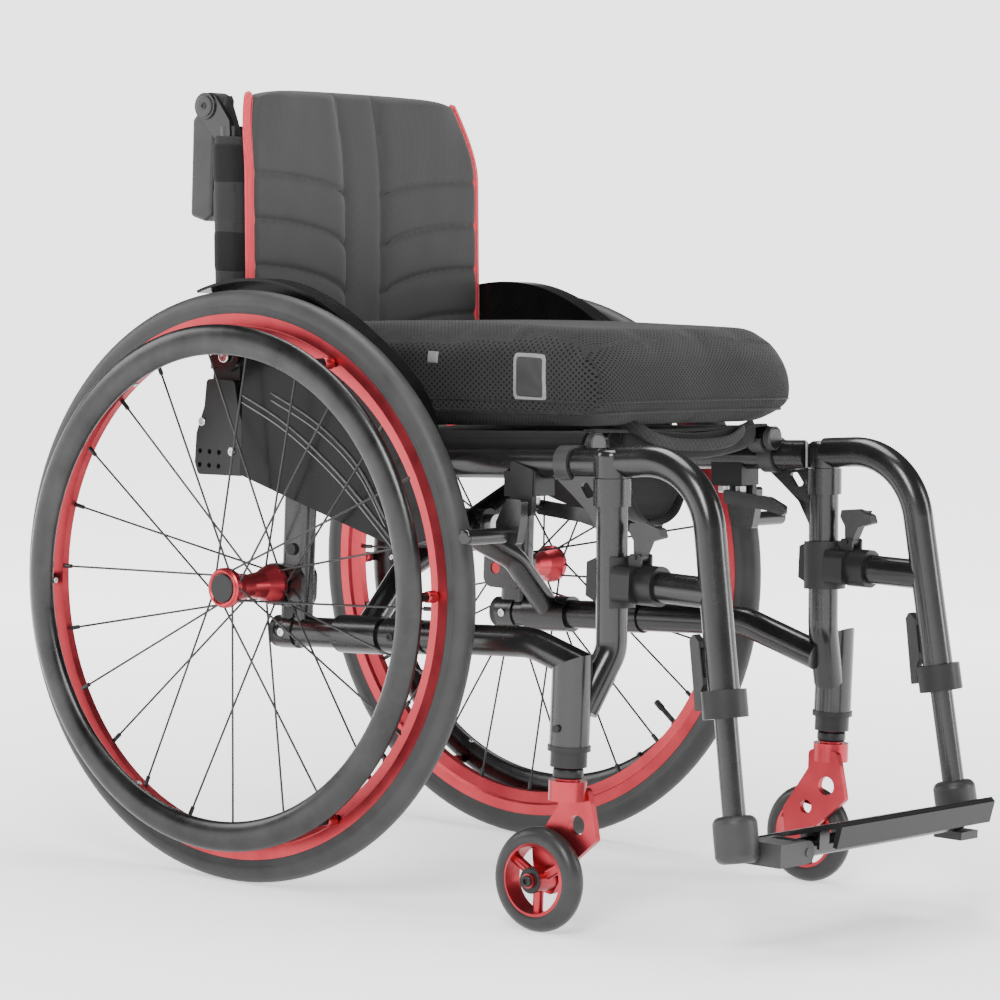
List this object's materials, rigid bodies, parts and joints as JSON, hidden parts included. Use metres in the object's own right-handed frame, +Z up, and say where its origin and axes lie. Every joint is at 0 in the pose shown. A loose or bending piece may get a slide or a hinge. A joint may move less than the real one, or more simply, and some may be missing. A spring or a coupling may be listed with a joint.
{
  "type": "manual wheelchair",
  "caption": "Folding active wheelchair with spoked drive wheels, handrims, castors, swing-away footrests, cushion and sling back.",
  "frame": {"origin": "centre of the bounding box in plan, at floor level", "axes": "+Z up, -Y the way the chair faces, -X the sitter's right-hand side"},
  "size_m": [0.56, 0.9399, 0.7895],
  "materials": {
    "frame_black": "satin black powder coat",
    "anodised_red": "red anodised, satin",
    "handrim_black": "black anodised, satin",
    "steel": "satin",
    "spoke_black": "satin",
    "rubber_tyre": "smooth grey-black rubber",
    "castor_rubber": "polished solid rubber",
    "guard_plastic": "glossy moulded",
    "grey_plastic": "fine-grained moulded",
    "black_plastic": "fine-grained moulded",
    "grip_rubber": "soft moulded",
    "knit_fabric": "spacer mesh and knit",
    "sling_fabric": "woven nylon",
    "back_fabric": "smooth laminated knit",
    "carbon": "carbon weave"
  },
  "bodies": {
    "frame_right": {"side_frame_r": "frame_black", "frame_hardware_r": "grey_plastic", "seat_saddle_r": "grey_plastic", "side_guard_r": "guard_plastic", "back_bracket_r": "frame_black", "brake_block_r": "black_plastic"},
    "arm_a": {"cross_arm_a": "frame_black", "cross_bolt": "steel", "seat_rail_l": "frame_black"},
    "arm_b": {"cross_arm_b": "frame_black", "seat_rail_r": "frame_black"},
    "frame_left": {"side_frame_l": "frame_black", "frame_hardware_l": "grey_plastic", "seat_saddle_l": "grey_plastic", "side_guard_l": "guard_plastic", "back_bracket_l": "frame_black", "brake_block_l": "black_plastic"},
    "seat": {"seat_sling": "sling_fabric", "seat_cushion": "knit_fabric"},
    "footplate": {"foot_tube": "frame_black", "footplate": "carbon"},
    "wheel_r": {"wheel_tyre_r": "rubber_tyre", "wheel_rim_r": "anodised_red", "wheel_hub_r": "anodised_red", "wheel_spokes_r": "spoke_black", "handrim_r": "handrim_black"},
    "hub_button_r": {"hub_button_r": "black_plastic"},
    "castor_fork_r": {"castor_fork_r": "anodised_red"},
    "castor_wheel_r": {"castor_wheel_r": "anodised_red", "castor_tyre_r": "castor_rubber"},
    "back_r": {"back_post_r": "frame_black", "back_upholstery": "back_fabric"},
    "push_handle_r": {"push_handle_r": "grip_rubber"},
    "back_release_r": {"back_release_r": "anodised_red"},
    "hanger_r": {"hanger_r": "frame_black", "hanger_latch_r": "grey_plastic"},
    "release_lever_r": {"release_lever_r": "grey_plastic"},
    "clamp_lever_r": {"clamp_lever_r": "black_plastic"},
    "extension_r": {"extension_r": "frame_black", "knuckle_r": "grey_plastic"},
    "brake_lever_r": {"brake_lever_r": "frame_black"},
    "wheel_l": {"wheel_tyre_l": "rubber_tyre", "wheel_rim_l": "anodised_red", "wheel_hub_l": "anodised_red", "wheel_spokes_l": "spoke_black", "handrim_l": "handrim_black"},
    "hub_button_l": {"hub_button_l": "black_plastic"},
    "castor_fork_l": {"castor_fork_l": "anodised_red"},
    "castor_wheel_l": {"castor_wheel_l": "anodised_red", "castor_tyre_l": "castor_rubber"},
    "back_l": {"back_post_l": "frame_black"},
    "push_handle_l": {"push_handle_l": "grip_rubber"},
    "back_release_l": {"back_release_l": "anodised_red"},
    "hanger_l": {"hanger_l": "frame_black", "hanger_latch_l": "grey_plastic"},
    "release_lever_l": {"release_lever_l": "grey_plastic"},
    "clamp_lever_l": {"clamp_lever_l": "black_plastic"},
    "extension_l": {"extension_l": "frame_black", "knuckle_l": "grey_plastic"},
    "brake_lever_l": {"brake_lever_l": "frame_black"}
  },
  "joints": [
    {"name": "fold", "type": "hinge", "parent": "frame_right", "child": "arm_a", "pos_m": [-0.177, 0.06519, 0.25402], "axis": [0, 0.9982, -0.0593], "range_deg": [-40, 0], "deforming": ["seat_sling", "seat_cushion", "back_upholstery"]},
    {"name": "cross_pivot", "type": "hinge", "parent": "arm_a", "child": "arm_b", "pos_m": [0, 0.09127, 0.35569], "axis": [0, 0.9982, -0.0593], "range_deg": [0, 80]},
    {"name": "left_frame_pivot", "type": "hinge", "parent": "arm_b", "child": "frame_left", "pos_m": [0.177, 0.10512, 0.25165], "axis": [0, 0.9982, -0.0593], "range_deg": [-40, 0]},
    {"name": "seat_level", "type": "hinge", "parent": "arm_b", "child": "seat", "pos_m": [-0.147, 0.09634, 0.44111], "axis": [0, 0.9982, -0.0593], "range_deg": [-40, 0]},
    {"name": "footplate_flip", "type": "hinge", "parent": "extension_r", "child": "footplate", "pos_m": [-0.132, -0.424, 0.097], "axis": [0, 1, 0], "range_deg": [-90, 0]},
    {"name": "wheel_spin_r", "type": "hinge", "parent": "frame_right", "child": "wheel_r", "pos_m": [-0.236, 0.175, 0.295], "axis": [1, 0, 0], "continuous": true},
    {"name": "hub_button_press_r", "type": "slide", "parent": "wheel_r", "child": "hub_button_r", "axis": [1, 0, 0], "range_m": [0, 0.004], "stiffness_N_per_m": 600},
    {"name": "castor_swivel_r", "type": "hinge", "parent": "frame_right", "child": "castor_fork_r", "pos_m": [-0.22, -0.229, 0.2], "axis": [0, 0, 1], "continuous": true},
    {"name": "castor_spin_r", "type": "hinge", "parent": "castor_fork_r", "child": "castor_wheel_r", "pos_m": [-0.225, -0.203, 0.05], "axis": [1, 0, 0], "continuous": true},
    {"name": "back_fold_r", "type": "hinge", "parent": "frame_right", "child": "back_r", "pos_m": [-0.172, 0.255, 0.52], "axis": [1, 0, 0], "range_deg": [0, 15]},
    {"name": "push_handle_flip_r", "type": "hinge", "parent": "back_r", "child": "push_handle_r", "pos_m": [-0.168, 0.294, 0.772], "axis": [1, 0, 0], "range_deg": [0, 90]},
    {"name": "back_release_pull_r", "type": "hinge", "parent": "frame_right", "child": "back_release_r", "pos_m": [-0.157, 0.243, 0.456], "axis": [-1, 0, 0], "range_deg": [0, 20], "stiffness_Nm_per_rad": 0.3},
    {"name": "hanger_swing_r", "type": "hinge", "parent": "frame_right", "child": "hanger_r", "pos_m": [-0.177, -0.235, 0.43], "axis": [0, -0.0432, -0.9991], "range_deg": [0, 85]},
    {"name": "release_lever_press_r", "type": "hinge", "parent": "hanger_r", "child": "release_lever_r", "pos_m": [-0.177, -0.272, 0.359], "axis": [1, 0, 0], "range_deg": [0, 20], "stiffness_Nm_per_rad": 0.3},
    {"name": "clamp_lever_open_r", "type": "hinge", "parent": "hanger_r", "child": "clamp_lever_r", "pos_m": [-0.183, -0.353, 0.2249], "axis": [-1, 0, 0], "range_deg": [0, 40]},
    {"name": "footrest_height_r", "type": "slide", "parent": "hanger_r", "child": "extension_r", "axis": [-0.0401, -0.1813, -0.9826], "range_m": [0, 0.05]},
    {"name": "brake_lever_r", "type": "hinge", "parent": "frame_right", "child": "brake_lever_r", "pos_m": [-0.18, -0.136, 0.396], "axis": [1, 0, 0], "range_deg": [0, 21]},
    {"name": "wheel_spin_l", "type": "hinge", "parent": "frame_left", "child": "wheel_l", "pos_m": [0.236, 0.175, 0.295], "axis": [1, 0, 0], "continuous": true},
    {"name": "hub_button_press_l", "type": "slide", "parent": "wheel_l", "child": "hub_button_l", "axis": [-1, 0, 0], "range_m": [0, 0.004], "stiffness_N_per_m": 600},
    {"name": "castor_swivel_l", "type": "hinge", "parent": "frame_left", "child": "castor_fork_l", "pos_m": [0.22, -0.229, 0.2], "axis": [0, 0, 1], "continuous": true},
    {"name": "castor_spin_l", "type": "hinge", "parent": "castor_fork_l", "child": "castor_wheel_l", "pos_m": [0.225, -0.203, 0.05], "axis": [1, 0, 0], "continuous": true},
    {"name": "back_fold_l", "type": "hinge", "parent": "frame_left", "child": "back_l", "pos_m": [0.172, 0.255, 0.52], "axis": [1, 0, 0], "range_deg": [0, 15]},
    {"name": "push_handle_flip_l", "type": "hinge", "parent": "back_l", "child": "push_handle_l", "pos_m": [0.168, 0.294, 0.772], "axis": [1, 0, 0], "range_deg": [0, 90]},
    {"name": "back_release_pull_l", "type": "hinge", "parent": "frame_left", "child": "back_release_l", "pos_m": [0.157, 0.243, 0.456], "axis": [-1, 0, 0], "range_deg": [0, 20], "stiffness_Nm_per_rad": 0.3},
    {"name": "hanger_swing_l", "type": "hinge", "parent": "frame_left", "child": "hanger_l", "pos_m": [0.177, -0.235, 0.43], "axis": [0, 0.0432, 0.9991], "range_deg": [0, 85]},
    {"name": "release_lever_press_l", "type": "hinge", "parent": "hanger_l", "child": "release_lever_l", "pos_m": [0.177, -0.272, 0.359], "axis": [1, 0, 0], "range_deg": [0, 20], "stiffness_Nm_per_rad": 0.3},
    {"name": "clamp_lever_open_l", "type": "hinge", "parent": "hanger_l", "child": "clamp_lever_l", "pos_m": [0.183, -0.353, 0.2249], "axis": [-1, 0, 0], "range_deg": [0, 40]},
    {"name": "footrest_height_l", "type": "slide", "parent": "hanger_l", "child": "extension_l", "axis": [0.0401, -0.1813, -0.9826], "range_m": [0, 0.05]},
    {"name": "brake_lever_l", "type": "hinge", "parent": "frame_left", "child": "brake_lever_l", "pos_m": [0.18, -0.136, 0.396], "axis": [1, 0, 0], "range_deg": [0, 21]}
  ],
  "couplings": [
    {"joint": "cross_pivot", "follows": "fold", "ratio": -2},
    {"joint": "left_frame_pivot", "follows": "fold", "ratio": 1},
    {"joint": "seat_level", "follows": "fold", "ratio": 1},
    {"joint": "footplate_flip", "follows": "fold", "ratio": 2.25},
    {"joint": "back_fold_l", "follows": "back_fold_r", "ratio": 1},
    {"joint": "footrest_height_l", "follows": "footrest_height_r", "ratio": 1}
  ]
}
